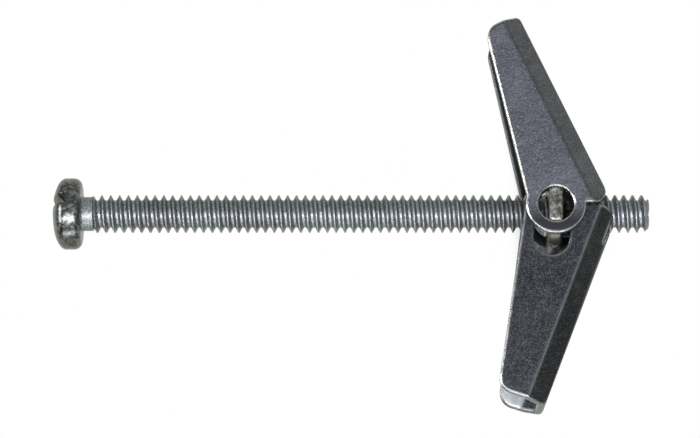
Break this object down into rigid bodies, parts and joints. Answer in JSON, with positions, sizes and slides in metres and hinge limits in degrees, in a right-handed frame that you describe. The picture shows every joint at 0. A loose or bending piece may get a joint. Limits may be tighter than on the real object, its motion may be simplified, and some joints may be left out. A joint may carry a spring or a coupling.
{
  "type": "spring toggle bolt",
  "caption": "Slotted round-head machine screw with a plate nut that carries a pair of sprung folding channel wings, for hollow walls.",
  "frame": {"origin": "centre of the head's bearing face, on the screw's axis", "axes": "+X along the screw from the head to its tip, +Y towards the upper wing, +Z along the wings' hinge axis, up from the surface that the bolt lies on"},
  "size_m": [0.0534, 0.0351, 0.0084],
  "materials": {
    "zinc_screw": "bright zinc plated, cold rolled",
    "zinc_nut": "zinc plated, pressed",
    "spring_wire": "drawn spring wire, zinc plated",
    "zinc_wing": "zinc plated, pressed sheet, lightly mottled"
  },
  "bodies": {
    "screw_body": {"screw": "zinc_screw"},
    "nut_body": {"trunnion_nut": "zinc_nut", "torsion_spring": "spring_wire"},
    "upper_wing": {"wing_upper": "zinc_wing"},
    "lower_wing": {"wing_lower": "zinc_wing"}
  },
  "joints": [
    {"name": "nut_travel", "type": "slide", "parent": "screw_body", "child": "nut_body", "axis": [1, 0, 0], "range_m": [-0.023, 0.0075]},
    {"name": "upper_fold", "type": "hinge", "parent": "nut_body", "child": "upper_wing", "pos_m": [0.0423, 0, 0], "axis": [0, 0, 1], "range_deg": [0, 71], "stiffness_Nm_per_rad": 0.005, "springref_deg": -57.3, "deforming": ["torsion_spring"]},
    {"name": "lower_fold", "type": "hinge", "parent": "nut_body", "child": "lower_wing", "pos_m": [0.0423, 0, 0], "axis": [0, 0, -1], "range_deg": [0, 75], "stiffness_Nm_per_rad": 0.005, "springref_deg": -57.3, "deforming": ["torsion_spring"]}
  ]
}
